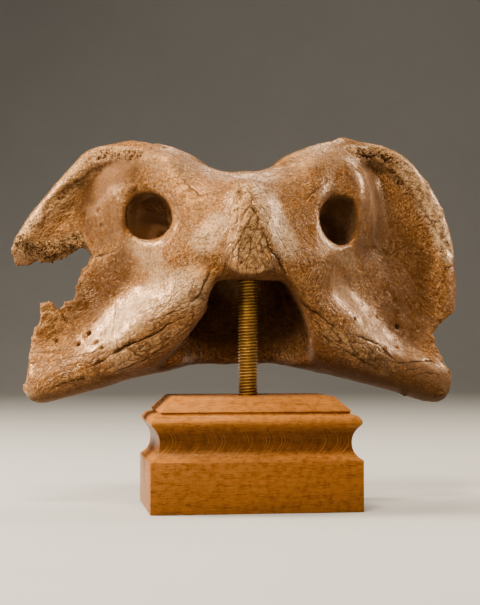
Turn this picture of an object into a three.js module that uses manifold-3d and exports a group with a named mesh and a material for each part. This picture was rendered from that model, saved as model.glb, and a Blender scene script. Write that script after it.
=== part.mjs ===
// A fossil atlas, the first neck vertebra of a steppe bison, on a threaded brass rod in a moulded wooden
// base. Millimetres, +Z up, the bone's upper (dorsal) face towards -Y, origin at the middle of the base's
// underside.
import * as THREE from 'three';
import { SimplifyModifier } from 'three/addons/modifiers/SimplifyModifier.js';
import { mergeVertices } from 'three/addons/utils/BufferGeometryUtils.js';
import Module from 'manifold-3d';

const wasm = await Module();
wasm.setup();

// Driving dimensions
const BASE = { width: 103, depth: 68, height: 55.4 };
const ROD = { diameter: 10, bottom: 28, top: 154, clearance: 0.3, sides: 32 };
const BONE = { tiltDeg: 15, offsetX: -2, setBack: 14, height: 118 };
const CELL = 2;
const BONE_TRIANGLES = 8600;
const OVERRUN = 10;

// The bone is shaped in its own frame: x to the side, y towards the head, z towards the back (dorsal).
// Most forms are the same on both sides, so they are placed by s, the distance from the middle plane.
const toBone = new THREE.Group();
toBone.position.set(BONE.offsetX, BONE.setBack, BONE.height);
toBone.rotation.x = Math.PI / 2 - THREE.MathUtils.degToRad(BONE.tiltDeg);
toBone.updateMatrixWorld(true);

// The bone's shape is a field of distances, negative inside. Its forms melt into each other over a blend
// width.
const OUTLINE_POINTS = 132;

function join(a, b, blend) {
  const h = Math.max(blend - Math.abs(a - b), 0) / blend;
  return Math.min(a, b) - (h * h * blend) / 4;
}

function carve(body, hollow, blend) {
  return -join(-body, hollow, blend);
}

function size(x, y, z) {
  return Math.sqrt(x * x + y * y + z * z);
}

function ellipsoid(x, y, z, { at, size: [rx, ry, rz] }) {
  const px = (x - at[0]) / rx;
  const py = (y - at[1]) / ry;
  const pz = (z - at[2]) / rz;
  const k0 = size(px, py, pz);
  const k1 = size(px / rx, py / ry, pz / rz);
  return k1 > 0 ? (k0 * (k0 - 1)) / k1 : -Math.min(rx, ry, rz);
}

// A strut with round ends whose radius changes evenly from one end to the other.
function strut(x, y, z, a, b) {
  const dx = b[0] - a[0];
  const dy = b[1] - a[1];
  const dz = b[2] - a[2];
  const along = (x - a[0]) * dx + (y - a[1]) * dy + (z - a[2]) * dz;
  const t = THREE.MathUtils.clamp(along / (dx * dx + dy * dy + dz * dz), 0, 1);
  return size(x - a[0] - t * dx, y - a[1] - t * dy, z - a[2] - t * dz) - a[3] - t * (b[3] - a[3]);
}

function struts(x, y, z, stations) {
  let least = Infinity;
  for (let i = 1; i < stations.length; i++) {
    least = Math.min(least, strut(x, y, z, stations[i - 1], stations[i]));
  }
  return least;
}

// Signed distance to a closed outline of [x, y] points, negative inside.
function outlineDistance(x, y, points) {
  let squared = Infinity;
  let inside = false;
  let a = points[points.length - 1];
  for (const b of points) {
    const ex = a[0] - b[0];
    const ey = a[1] - b[1];
    const px = x - b[0];
    const py = y - b[1];
    const t = THREE.MathUtils.clamp((px * ex + py * ey) / (ex * ex + ey * ey), 0, 1);
    squared = Math.min(squared, (px - t * ex) ** 2 + (py - t * ey) ** 2);
    if ((b[1] > y) !== (a[1] > y) && px < (ex * py) / ey) inside = !inside;
    a = b;
  }
  return (inside ? -1 : 1) * Math.sqrt(squared);
}

function smoothOutline(points) {
  const curve = new THREE.SplineCurve([...points, points[0]].map(([x, y]) => new THREE.Vector2(x, y)));
  return curve.getPoints(OUTLINE_POINTS).slice(0, -1).map((p) => [p.x, p.y]);
}

// Wings: one plate with an outline, which runs round both sides of the animal. It is thickest at its root,
// and a swollen rim follows the part of its edge that lies towards the head.
const WING_OUTLINE = smoothOutline([
  [0, 34], [24, 50], [42, 66], [62, 70], [80, 70], [93, 65], [105, 54], [114, 38], [118.5, 20], [119, -4],
  [117, -26], [114, -42], [111.5, -57], [101.5, -64.5], [84, -59], [62, -53], [40, -45], [0, -34],
  [-40, -45], [-62, -53.5], [-84, -60.5], [-98, -64.5], [-106, -57], [-109, -38], [-114, -18],
  [-118, 2], [-115, 20], [-102, 39.5], [-89.5, 54], [-76, 67], [-60, 67], [-42, 65], [-24, 50.5],
]);
const WING = { root: 55, rootLevel: -6, droop: 0.25, rise: 0.07, web: 3.6, roundness: 0.85 };
const WING_ROOT = { from: 50, to: 80, extra: 3 };
const WING_RIM = { least: 1.2, most: 4.4, startsAt: -24, fullAt: 6, reach: 6, endsAt: 15 };

function wings(x, y, z) {
  const s = Math.abs(x);
  const edge = outlineDistance(x, y, WING_OUTLINE);
  const level = WING.rootLevel - WING.droop * Math.max(s - WING.root, 0) + WING.rise * y;
  const cranial = THREE.MathUtils.smoothstep(y, WING_RIM.startsAt, WING_RIM.fullAt);
  const nearEdge = 1 - THREE.MathUtils.smoothstep(-edge, WING_RIM.reach, WING_RIM.endsAt);
  const nearRoot = 1 - THREE.MathUtils.smoothstep(s, WING_ROOT.from, WING_ROOT.to);
  const rim = nearEdge * THREE.MathUtils.lerp(WING_RIM.least, WING_RIM.most, cranial);
  const half = WING.web + rim + WING_ROOT.extra * nearRoot;
  const round = WING.roundness * half;
  const u = Math.abs(z - level) - half + round;
  const v = edge + round;
  return Math.min(Math.max(u, v), 0) + size(Math.max(u, 0), Math.max(v, 0), 0) - round;
}

// The ring round the spinal canal, the masses that carry the joints, and the crests that run out on the wings
const CRANIAL_MASS = { at: [40, 36, -3], size: [30, 33, 33], blend: 16 };
const CAUDAL_MASS = { at: [43, -26, -14], size: [25, 22, 28], blend: 14 };
const DORSAL_ARCH = { at: [0, 15, 8], size: [46, 36, 31], blend: 14 };
const VENTRAL_ARCH = { at: [0, -13, -18], size: [46, 32, 27], blend: 12 };
const DORSAL_TUBERCLE = { at: [0, 8, 36], size: [13, 24, 7], blend: 8 };
const VENTRAL_TUBERCLE = { at: [0, -12, -45], size: [10, 17, 9], blend: 8 };
const FORAMEN_BAR = { stations: [[30, -1, 17, 12], [48, -2, 1, 11], [60, -3, -13, 9]], blend: 14 };
const CAUDAL_LEG = {
  stations: [[18, -3, 21, 11], [31, -20, 9, 13], [46, -32, -3, 14], [68, -43, -11, 12], [97, -53.5, -21, 8.5]],
  blend: 12,
};

const MASSES = [CRANIAL_MASS, CAUDAL_MASS, DORSAL_ARCH, VENTRAL_ARCH, DORSAL_TUBERCLE, VENTRAL_TUBERCLE];
const CRESTS = [FORAMEN_BAR, CAUDAL_LEG];

function addForms(plate, s, y, z) {
  let body = plate;
  for (const form of MASSES) {
    body = join(body, ellipsoid(s, y, z, form), form.blend);
  }
  for (const form of CRESTS) {
    body = join(body, struts(s, y, z, form.stations), form.blend);
  }
  return body;
}

// Joint faces and shallow hollows
const CAUDAL_FACE = { y: -44.2, slope: 0.2, blend: 6 };
const CUP = { at: [30, 77, -6], size: [26, 30, 28], blend: 5 };
const ATLANTAL_FOSSA = { at: [69, 10, -43], size: [27, 36, 27], blend: 10 };
const DORSAL_FOSSA = { at: [51, 35, 32], size: [9, 15, 9], blend: 10 };
const TROUGH = { stations: [[64, -8, 15, 12], [77, -18, 10, 13], [90, -28, 5, 13]], blend: 14 };

function carveHollows(solidBody, s, y, z) {
  let body = carve(solidBody, y - CAUDAL_FACE.y + CAUDAL_FACE.slope * s, CAUDAL_FACE.blend);
  for (const hollow of [ATLANTAL_FOSSA, DORSAL_FOSSA, CUP]) {
    body = carve(body, ellipsoid(s, y, z, hollow), hollow.blend);
  }
  return carve(body, struts(s, y, z, TROUGH.stations), TROUGH.blend);
}

// Notches between the joints: each has a plan outline and reaches from one level of z outwards.
const CAUDAL_NOTCH = {
  points: [[-16, -7.5], [18, -7.5], [24, -16], [28.5, -24], [31, -35], [34, -50], [58, -100],
    [-60, -100], [-38, -50], [-28, -38], [-20, -29], [-18, -23], [-20, -17]],
  level: -6,
  outwards: 1,
  blend: 5,
};
const ARCH_EDGE = { lean: 0.36, level: 10 };
const CRANIAL_NOTCH = {
  points: [[-8, 49], [8, 49], [14, 53], [18.5, 61], [22, 71], [25, 100],
    [-30, 100], [-26, 71], [-21, 61], [-15, 53]],
  level: 0,
  outwards: 1,
  blend: 8,
};
const VENTRAL_NOTCH = {
  points: [[-4, 24], [4, 24], [9, 36], [16, 54], [26, 80], [26, 100],
    [-26, 100], [-26, 80], [-16, 54], [-9, 36]],
  level: 0,
  outwards: -1,
  blend: 6,
};

function notch(body, x, y, z, { points, level, outwards, blend }) {
  return carve(body, Math.max(outlineDistance(x, y, points), (level - z) * outwards), blend);
}

function carveNotches(solidBody, x, y, z) {
  const leaningY = y + ARCH_EDGE.lean * (z - ARCH_EDGE.level);
  let body = notch(solidBody, x, leaningY, z, CAUDAL_NOTCH);
  body = notch(body, x, y, z, CRANIAL_NOTCH);
  return notch(body, x, y, z, VENTRAL_NOTCH);
}

// Passages: the spinal canal, and on each side the alar foramen, which is cut off flat on its outer side and
// gives off the lateral vertebral foramen to the canal. The right alar foramen lies further out and lower.
const CANAL = { level: -1, width: 22, height: 19, blend: 4 };
const CANAL_FLARE = { from: 5, to: 45, width: 8, height: 3 };
const ALAR_FORAMEN = {
  left: [[47.4, 19.5, 28, 11.4], [47.4, 24, 12, 11.4], [46, 17, -3, 8.5], [53, -1, -27, 6.5]],
  right: [[49, 18.4, 28, 11.7], [49, 22.9, 11, 11.7], [47.5, 17, -4, 8], [55, -1, -27, 6.5]],
  leftSide: 59,
  rightSide: 58.3,
  sideBlend: 2.5,
  blend: 4,
};
const LATERAL_FORAMEN = { stations: [[44, 22, -2, 7], [20, 18, -4, 6]], blend: 3 };

function canal(x, y, z) {
  const flare = THREE.MathUtils.smoothstep(-y, CANAL_FLARE.from, CANAL_FLARE.to);
  const a = CANAL.width + CANAL_FLARE.width * flare;
  const b = CANAL.height + CANAL_FLARE.height * flare;
  return (size(x / a, (z - CANAL.level) / b, 0) - 1) * Math.min(a, b);
}

function alarForamen(x, y, z) {
  const { left, right, leftSide, rightSide, sideBlend } = ALAR_FORAMEN;
  const passage = struts(Math.abs(x), y, z, x > 0 ? right : left);
  return carve(passage, (x > 0 ? rightSide : leftSide) - Math.abs(x), sideBlend);
}

function carvePassages(solidBody, x, y, z) {
  let body = carve(solidBody, canal(x, y, z), CANAL.blend);
  body = carve(body, alarForamen(x, y, z), ALAR_FORAMEN.blend);
  return carve(body, struts(Math.abs(x), y, z, LATERAL_FORAMEN.stations), LATERAL_FORAMEN.blend);
}

// The right side grew a little longer towards the head than the left.
const RIGHT_GROWTH = { part: 0.033, sideways: 32, forwards: 40 };

function bone(x, seenY, z) {
  const s = Math.abs(x);
  const right = THREE.MathUtils.smoothstep(x, 0, RIGHT_GROWTH.sideways);
  const forward = THREE.MathUtils.smoothstep(seenY, 0, RIGHT_GROWTH.forwards);
  const y = seenY / (1 + RIGHT_GROWTH.part * right * forward);
  let body = addForms(wings(x, y, z), s, y, z);
  body = carveHollows(body, s, y, z);
  body = carveNotches(body, x, y, z);
  return carvePassages(body, x, y, z);
}

// Turns a field into a closed mesh. Each cell of a lattice is parted in six tetrahedra round its long
// diagonal, so the surface crosses each tetrahedron as one triangle or one quadrangle.
const REACH = { min: [-124, -74, -62], max: [126, 80, 54] };
const LEAST_VALUE = 0.08 * CELL;

function meshOf(field) {
  const [nx, ny, nz] = REACH.min.map((low, k) => Math.ceil((REACH.max[k] - low) / CELL) + 1);
  const steps = [1, nx, nx * ny];
  const place = (node) => [
    REACH.min[0] + CELL * (node % nx),
    REACH.min[1] + CELL * (Math.floor(node / nx) % ny),
    REACH.min[2] + CELL * Math.floor(node / (nx * ny)),
  ];
  const values = new Float32Array(nx * ny * nz).map((_, node) => {
    const value = field(...place(node));
    return value < 0 ? Math.min(value, -LEAST_VALUE) : Math.max(value, LEAST_VALUE);
  });

  const positions = [];
  const crossings = new Map();
  function crossing(inner, outer) {
    const key = inner * values.length + outer;
    if (!crossings.has(key)) {
      crossings.set(key, positions.length);
      const from = new THREE.Vector3(...place(inner));
      const to = new THREE.Vector3(...place(outer));
      positions.push(from.lerp(to, values[inner] / (values[inner] - values[outer])));
    }
    return crossings.get(key);
  }

  const indices = [];
  const orders = [[0, 1], [1, 2], [2, 0], [1, 0], [2, 1], [0, 2]];
  const cube = [1, nx, nx + 1, nx * ny, nx * ny + 1, nx * ny + nx, nx * ny + nx + 1];
  for (let node = 0; node + cube[6] < values.length; node++) {
    const inner = values[node] < 0;
    if (cube.every((step) => values[node + step] < 0 === inner)) continue;
    for (const [u, v] of orders) {
      const corners = [node, node + steps[u], node + steps[u] + steps[v], node + cube[6]];
      const inside = corners.filter((corner) => values[corner] < 0);
      const outside = corners.filter((corner) => values[corner] > 0);
      if (inside.length === 0 || outside.length === 0) continue;
      const pairs = inside.flatMap((from) => outside.map((to) => [from, to]));
      if (pairs.length === 4) pairs.push(pairs.splice(2, 1)[0]);
      const ring = pairs.map((pair) => crossing(...pair));
      const [first, second, third] = ring.map((n) => positions[n]);
      const facing = new THREE.Triangle(first, second, third).getNormal(new THREE.Vector3());
      const outwards = new THREE.Vector3(...place(outside[0])).sub(new THREE.Vector3(...place(inside[0])));
      if (facing.dot(outwards) < 0) ring.reverse();
      for (let n = 2; n < ring.length; n++) indices.push(ring[0], ring[n - 1], ring[n]);
    }
  }
  return new THREE.BufferGeometry().setFromPoints(positions).setIndex(indices);
}

function solid(geometry) {
  const bare = geometry.clone();
  bare.deleteAttribute('normal');
  bare.deleteAttribute('uv');
  const merged = mergeVertices(bare, 1e-4);
  return new wasm.Manifold(new wasm.Mesh({
    numProp: 3,
    vertProperties: new Float32Array(merged.attributes.position.array),
    triVerts: new Uint32Array(merged.index.array),
  }));
}

function geometryOf(manifold) {
  const { vertProperties, triVerts } = manifold.getMesh();
  const geometry = new THREE.BufferGeometry();
  geometry.setAttribute('position', new THREE.BufferAttribute(vertProperties, 3));
  geometry.setIndex(new THREE.BufferAttribute(triVerts, 1));
  geometry.computeVertexNormals();
  return geometry;
}

// Breaks through the wings, as plan outlines that run on past the edge of the bone
const LEFT_BITE = [
  [-130, 11], [-116, 11.5], [-108, 7.5], [-98, 7], [-88, 9], [-84, 13.5], [-78, 16], [-75, 11],
  [-77, 5.5], [-80.5, 3.5], [-85, 0], [-89, -8.5], [-90, -16.5], [-91.5, -21], [-94, -12], [-101, -13.5],
  [-100, -18], [-101, -24], [-103.5, -26], [-104.8, -32], [-106, -40], [-108, -55], [-130, -62],
];
const LOBE_BREAK = [
  [-130, 11], [-116, 11.5], [-108, 7.5], [-98, 7], [-88, 9], [-83, 13.5], [-80, 0], [-84, -16], [-130, -16],
];
const RIGHT_BITE = [
  [130, -7], [120, -9], [116, -16], [110, -21], [103, -28.5], [105, -31],
  [105.8, -37], [108.5, -43], [112, -48], [130, -49],
];

// A leaning break looks up towards the back of the animal: past its lower edge, which climbs from one point
// of x and z towards the middle, its y grows with each step up in z.
const LOBE_FACE = { lean: 0.8, from: [-115, -29], climb: 0.42 };
const UPRIGHT = { lean: 0, from: [0, 0], climb: 0 };

function throughCut(points, { lean, from, climb } = UPRIGHT) {
  const shape = new THREE.Shape(points.map(([x, y]) => new THREE.Vector2(x, y)));
  const depth = REACH.max[2] - REACH.min[2];
  const cutter = new THREE.ExtrudeGeometry(shape, { depth, bevelEnabled: false });
  cutter.translate(-from[0], 0, REACH.min[2] - from[1]);
  cutter.applyMatrix4(new THREE.Matrix4().makeShear(-lean * climb, 0, 0, 0, 0, lean));
  return solid(cutter.translate(from[0], 0, from[1]));
}

// A round bar along Z between two levels, as wide as the rod and a gap all round it.
function rodBar(gap, bottom, top) {
  const radius = ROD.diameter / 2 + gap;
  const bar = new THREE.CylinderGeometry(radius, radius, top - bottom, ROD.sides);
  return bar.rotateX(Math.PI / 2).translate(0, 0, (bottom + top) / 2);
}

async function vertebraSolid() {
  const fine = meshOf(bone);
  const spare = fine.attributes.position.count - BONE_TRIANGLES / 2;
  const plain = solid(await new SimplifyModifier().modify(fine, spare));
  const socket = rodBar(ROD.clearance, BASE.height, ROD.top + ROD.clearance);
  socket.applyMatrix4(toBone.matrixWorld.clone().invert());
  return plain
    .subtract(throughCut(LEFT_BITE))
    .subtract(throughCut(LOBE_BREAK, LOBE_FACE))
    .subtract(throughCut(RIGHT_BITE))
    .subtract(solid(socket));
}

// Base: a plinth, a cove, a bead with a quirk above it, and a bevel up to the flat top. Each point of the
// moulding is given as its inset from the plinth and its height.
function baseProfile(half) {
  const at = (inset, z) => [half - inset, z];
  const shape = new THREE.Shape();
  shape.moveTo(-half, 0);
  shape.lineTo(half, 0);
  shape.lineTo(...at(0, 24.8));
  shape.bezierCurveTo(...at(2.6, 26.4), ...at(4.9, 28.6), ...at(4.9, 33.2));
  shape.bezierCurveTo(...at(4.9, 38), ...at(2.4, 40.2), ...at(0.7, 42));
  shape.bezierCurveTo(...at(-0.1, 43.6), ...at(1.2, 46.2), ...at(4.6, 46.8));
  shape.lineTo(...at(5.6, 47));
  shape.lineTo(...at(5.6, 47.8));
  shape.lineTo(...at(4.7, 48.2));
  shape.lineTo(...at(11.2, 54.4));
  shape.quadraticCurveTo(...at(12.2, BASE.height), ...at(13.6, BASE.height));
  const right = shape.getPoints(5);
  const left = right.slice(2).reverse().map((p) => new THREE.Vector2(-p.x, p.y));
  return new THREE.Shape([...right, ...left]);
}

function profileBar(half, length) {
  const bar = new THREE.ExtrudeGeometry(baseProfile(half), { depth: length, bevelEnabled: false });
  return bar.translate(0, 0, -length / 2).rotateX(Math.PI / 2);
}

// The moulding runs round all four sides: one bar of it across the width and one across the depth, mitred.
function baseSolid() {
  const acrossWidth = solid(profileBar(BASE.width / 2, BASE.depth + OVERRUN));
  const acrossDepth = solid(profileBar(BASE.depth / 2, BASE.width + OVERRUN).rotateZ(Math.PI / 2));
  const hole = solid(rodBar(ROD.clearance, ROD.bottom - ROD.clearance, BASE.height + OVERRUN));
  return acrossWidth.intersect(acrossDepth).subtract(hole);
}

function piece(name, geometry, color, roughness, metalness) {
  const mesh = new THREE.Mesh(geometry, new THREE.MeshStandardMaterial({ color, roughness, metalness }));
  mesh.name = name;
  return mesh;
}

const vertebra = piece('vertebra', geometryOf(await vertebraSolid()), 0x8f6238, 0.5, 0);
toBone.add(vertebra);
const display = new THREE.Group();
display.add(toBone);
display.add(piece('rod', rodBar(0, ROD.bottom, ROD.top), 0xb08a3c, 0.3, 1));
display.add(piece('base', geometryOf(baseSolid()), 0xb9793a, 0.6, 0));

export default display;
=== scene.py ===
# A fossil steppe bison vertebra on a threaded brass rod in a moulded wooden base.
# The frame gives every piece its place: metres, +Z up, the front towards -Y, the base standing on Z = 0.

import math

import bmesh
import bpy
import numpy as np
from mathutils import Matrix, Vector, noise
from mathutils.bvhtree import BVHTree
from mathutils.kdtree import KDTree


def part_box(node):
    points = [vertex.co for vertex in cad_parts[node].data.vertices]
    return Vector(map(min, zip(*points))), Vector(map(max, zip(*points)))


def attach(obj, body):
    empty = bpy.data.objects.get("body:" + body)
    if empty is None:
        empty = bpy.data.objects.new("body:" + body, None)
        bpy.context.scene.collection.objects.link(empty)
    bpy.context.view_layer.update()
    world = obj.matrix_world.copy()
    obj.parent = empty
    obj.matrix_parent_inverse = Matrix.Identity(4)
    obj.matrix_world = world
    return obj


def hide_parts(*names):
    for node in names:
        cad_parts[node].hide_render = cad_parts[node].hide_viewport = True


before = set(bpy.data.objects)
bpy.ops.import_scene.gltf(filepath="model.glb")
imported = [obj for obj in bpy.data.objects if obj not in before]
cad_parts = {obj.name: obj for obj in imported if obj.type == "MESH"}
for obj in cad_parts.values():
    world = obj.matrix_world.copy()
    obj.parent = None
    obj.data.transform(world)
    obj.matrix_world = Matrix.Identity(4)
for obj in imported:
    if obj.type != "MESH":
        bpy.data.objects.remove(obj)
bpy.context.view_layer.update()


# The camera. It stands three quarters of a metre in front of the rod, eight degrees round to the left and
# just above the base, and looks very slightly up. Distances in the picture are in the photograph's pixels.
PHOTO_WIDTH, PHOTO_HEIGHT = 480, 605
FOCAL_LENGTH = 1468
CAMERA_YAW = math.radians(8)
HORIZON_BELOW_MIDDLE = 39.5
CAMERA_PITCH = math.atan(HORIZON_BELOW_MIDDLE / FOCAL_LENGTH)
CAMERA_DISTANCE = 0.734
CAMERA_HEIGHT = 0.0818
ROD_RIGHT_OF_MIDDLE = 8
SENSOR = 36

level_aim = Vector((math.sin(CAMERA_YAW), math.cos(CAMERA_YAW), 0))
camera_aim = level_aim * math.cos(CAMERA_PITCH) + Vector((0, 0, math.sin(CAMERA_PITCH)))
camera_right = Vector((math.cos(CAMERA_YAW), -math.sin(CAMERA_YAW), 0))
camera_up = camera_right.cross(camera_aim)

camera_data = bpy.data.cameras.new("camera")
camera_data.sensor_fit = "VERTICAL"
camera_data.sensor_height = SENSOR
camera_data.lens = SENSOR * FOCAL_LENGTH / PHOTO_HEIGHT
camera = bpy.data.objects.new("camera", camera_data)
camera.location = Vector((0, 0, CAMERA_HEIGHT)) - level_aim * CAMERA_DISTANCE
camera.location -= camera_right * (ROD_RIGHT_OF_MIDDLE / FOCAL_LENGTH * CAMERA_DISTANCE)
camera.rotation_euler = camera_aim.to_track_quat("-Z", "Y").to_euler()
bpy.context.collection.objects.link(camera)
bpy.context.scene.camera = camera


def photo_ray(x, y):
    """The direction in which the camera sees a pixel of the photograph."""
    across = camera_right * ((x - PHOTO_WIDTH / 2) / FOCAL_LENGTH)
    down = camera_up * ((y - PHOTO_HEIGHT / 2) / FOCAL_LENGTH)
    return (camera_aim + across - down).normalized()


# The vertebra: one fossil atlas, grown as a single bone with a dense waxed skin and spongy margins. It is
# stained caramel brown by the ground, cracked along its fibres, and broken on its left side. Its skin starts
# from the CAD bone, remeshed finely, and the breaks, cracks, pores and scarps are then worked into it.
MM = 0.001
SAME_PLACE = 0.001 * MM
SKIN_CELL = 1.38 * MM
SHARP_ANGLE = math.radians(50)
SHARP_KEEP = 2.2 * MM
FIRST_SMOOTHINGS, MORE_SMOOTHINGS, REFILLINGS = 2, 14, 30
NOISE_SEED = 7
# Without a seed, Blender's vector noise takes one from the clock.
noise.seed_set(NOISE_SEED)


def merged_copy(node):
    """A bmesh of a CAD node with its loose triangles joined."""
    copy = bmesh.new()
    copy.from_mesh(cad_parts[node].data)
    bmesh.ops.remove_doubles(copy, verts=copy.verts, dist=SAME_PLACE)
    copy.normal_update()
    return copy


def sharp_points(bm, spacing):
    """A tree of points along the edges that stay sharp, such as those of a break."""
    points = []
    for edge in bm.edges:
        if edge.is_manifold and edge.calc_face_angle() > SHARP_ANGLE:
            steps = max(1, round(edge.calc_length() / spacing))
            start, end = (v.co for v in edge.verts)
            points += [start.lerp(end, i / steps) for i in range(steps + 1)]
    tree = KDTree(len(points))
    for index, point in enumerate(points):
        tree.insert(point, index)
    tree.balance()
    return tree


def voxel_skin(bm, cell):
    """Remeshes a closed shape into small even quads."""
    mesh = bpy.data.meshes.new("skin")
    bm.to_mesh(mesh)
    holder = bpy.data.objects.new("skin", mesh)
    bpy.context.collection.objects.link(holder)
    remesh = holder.modifiers.new("remesh", "REMESH")
    remesh.mode = "VOXEL"
    remesh.voxel_size = cell
    evaluated = holder.evaluated_get(bpy.context.evaluated_depsgraph_get())
    skin = bmesh.new()
    skin.from_mesh(evaluated.to_mesh())
    bpy.data.objects.remove(holder)
    return skin


def places_of(bm):
    """The places of a mesh's points in millimetres."""
    return np.array([v.co / MM for v in bm.verts])


def move_to(bm, places):
    for vert, place in zip(bm.verts, places):
        vert.co = place * MM
    bm.normal_update()


def evened_out(bm, values, rounds):
    """Averages the points' values with those of the points next to them, several times."""
    first, second = np.array([[v.index for v in e.verts] for e in bm.edges]).T
    count = len(values)
    neighbours = np.bincount(first, minlength=count) + np.bincount(second, minlength=count)
    for _ in range(rounds):
        summed = [np.bincount(first, column[second], count) + np.bincount(second, column[first], count)
                  for column in values.T]
        values = (values + np.stack(summed, axis=1) / neighbours[:, None]) / 2
    return values


def smoothed(bm, verts, rounds):
    for _ in range(rounds):
        bmesh.ops.smooth_vert(bm, verts=verts, factor=0.5, use_axis_x=True, use_axis_y=True, use_axis_z=True)


cad_bone = merged_copy("vertebra")
cad_tree = BVHTree.FromBMesh(cad_bone)
breaks = sharp_points(cad_bone, SKIN_CELL)
bone = voxel_skin(cad_bone, SKIN_CELL)
stepped = places_of(bone)
smoothed(bone, bone.verts, FIRST_SMOOTHINGS)
smoothed(bone, [v for v in bone.verts if breaks.find(v.co)[2] > SHARP_KEEP], MORE_SMOOTHINGS)
# The smoothing wears the tips down, so what it took on the whole is put back.
rounded = places_of(bone)
move_to(bone, rounded + evened_out(bone, stepped - rounded, REFILLINGS))

# What the photograph shows on the bone, as lines of its pixels: cracks, with their width and depth in
# millimetres, and nutrient holes, with their radius and depth.
CRACKS = [
    ([(86, 369), (100, 362), (116, 352), (125, 346), (139, 340), (154, 335), (167, 325), (179, 319),
      (195, 315)], 1.3, 1.7),
    ([(189, 303), (198, 296), (202, 287), (211, 271)], 1.4, 1.5),
    ([(221, 276), (225, 266), (230, 253), (236, 246), (243, 232)], 1.0, 1.3),
    ([(116, 301), (114, 320), (111, 338)], 0.5, 0.4),
    ([(94, 257), (101, 256), (107, 254), (115, 252)], 0.8, 0.8),
    ([(61, 313), (65, 319), (68, 324)], 0.8, 1.2),
    ([(259, 226), (266, 239), (268, 248), (278, 259), (284, 271), (287, 279)], 1.2, 1.4),
    ([(250, 205), (256, 216), (259, 226)], 0.7, 0.7),
    ([(299, 298), (307, 307), (319, 314), (330, 324), (337, 329)], 1.1, 1.2),
    ([(355, 335), (373, 342), (382, 347), (391, 357), (396, 360)], 1.2, 1.4),
    ([(396, 364), (414, 362), (435, 361)], 0.9, 1.0),
    ([(305, 201), (316, 190), (328, 180)], 0.7, 0.7),
    ([(380, 154), (385, 160), (391, 159)], 2.0, 1.6),
    ([(355, 153), (366, 157), (376, 156)], 1.1, 1.1),
    ([(387, 260), (394, 253), (410, 244)], 0.6, 0.5),
    ([(407, 232), (416, 227), (429, 224)], 0.5, 0.5),
    ([(423, 238), (434, 236)], 0.5, 0.5),
    ([(441, 268), (453, 267)], 0.6, 0.6),
    ([(258, 195), (268, 192)], 0.8, 0.7),
    ([(111, 373), (125, 368), (143, 360), (160, 350), (176, 338)], 0.8, 0.9),
    ([(50, 361), (75, 356), (100, 351)], 0.5, 0.5),
    ([(41, 353), (60, 350), (77, 348)], 0.5, 0.4),
    ([(59, 368), (85, 362)], 0.5, 0.4),
    ([(48, 393), (54, 387), (75, 380), (90, 377)], 0.6, 0.6),
    ([(29, 364), (43, 362)], 0.6, 0.6),
    ([(28, 380), (40, 378)], 0.5, 0.5),
    ([(150, 322), (165, 315), (185, 308)], 0.5, 0.5),
    ([(140, 312), (160, 306), (180, 297)], 0.4, 0.3),
    ([(166, 189), (179, 201)], 0.4, 0.35),
    ([(179, 176), (193, 189)], 0.4, 0.35),
    ([(187, 184), (203, 198)], 0.4, 0.35),
    ([(171, 209), (189, 230)], 0.4, 0.35),
    ([(337, 344), (355, 357), (378, 369)], 0.7, 0.8),
    ([(316, 330), (330, 341), (345, 349)], 0.5, 0.5),
    ([(403, 380), (426, 373), (441, 375)], 0.5, 0.5),
    ([(400, 372), (420, 368)], 0.4, 0.4),
    ([(252, 214), (244, 232), (233, 250), (226, 268)], 0.5, 0.5),
    ([(255, 226), (248, 242), (239, 257), (232, 270)], 0.5, 0.5),
    ([(257, 238), (250, 252), (243, 268)], 0.4, 0.45),
    ([(249, 205), (241, 220), (232, 236)], 0.4, 0.4),
    ([(262, 250), (270, 262), (276, 274)], 0.5, 0.5),
    ([(262, 206), (272, 226), (283, 244), (291, 262)], 0.4, 0.4),
    ([(256, 258), (262, 270)], 0.4, 0.4),
    ([(238, 262), (236, 274)], 0.4, 0.4),
]
HOLES = [
    ([(88.8, 333.6)], 1.1, 2.0),
    ([(96.4, 341.6)], 1.1, 2.0),
    ([(78, 344)], 1.2, 1.8),
    ([(56.8, 340.7)], 0.6, 1.0),
    ([(101.8, 348)], 0.7, 1.0),
    ([(398, 327)], 1.5, 2.4),
    ([(397, 347)], 0.7, 1.0),
    ([(355, 319)], 0.6, 1.0),
    ([(165, 147.5)], 0.8, 1.2),
    ([(240.7, 263)], 0.8, 1.2),
    ([(377, 318)], 0.5, 0.8),
]
# Areas are lines with the radius round them in millimetres, and how strong the effect is there. In these
# the spongy inside of the bone is laid open.
SPONGY = [
    ([(100, 153), (112, 153), (124, 154), (136, 155)], 6.0, 1.0),
    ([(94, 160), (80, 175), (62, 195), (44, 213), (28, 230)], 5.0, 0.6),
    ([(104, 166), (92, 172), (84, 180)], 3.0, 0.5),
    ([(18, 243), (30, 250), (46, 253), (60, 249), (76, 242)], 7.5, 1.0),
    ([(350, 152), (362, 154), (372, 158)], 5.0, 0.85),
    ([(372, 150), (384, 155), (393, 161)], 4.5, 1.0),
    ([(396, 160), (408, 172), (420, 190), (432, 212), (443, 236)], 5.5, 0.55),
    ([(392, 172), (400, 183), (411, 192)], 3.0, 0.9),
    ([(238, 184), (246, 181), (250, 187)], 3.5, 0.7),
    ([(240, 200), (246, 225), (252, 255)], 9.0, 0.35),
    ([(30, 344), (28, 362), (26, 384)], 3.0, 0.5),
    ([(330, 338), (360, 352), (388, 368)], 6.0, 0.5),
    ([(122, 360), (150, 346), (176, 330)], 4.0, 0.45),
]
# Along these lines the swollen margins step down to the plates of the wings.
SCARPS = [
    [(44, 218), (44, 207), (55, 195), (66, 187), (80, 180), (93, 169), (111, 162), (128, 159)],
    [(355, 163), (369, 163), (387, 167), (398, 178), (410, 191), (419, 203), (430, 219), (441, 237),
     (451, 248)],
]
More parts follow.
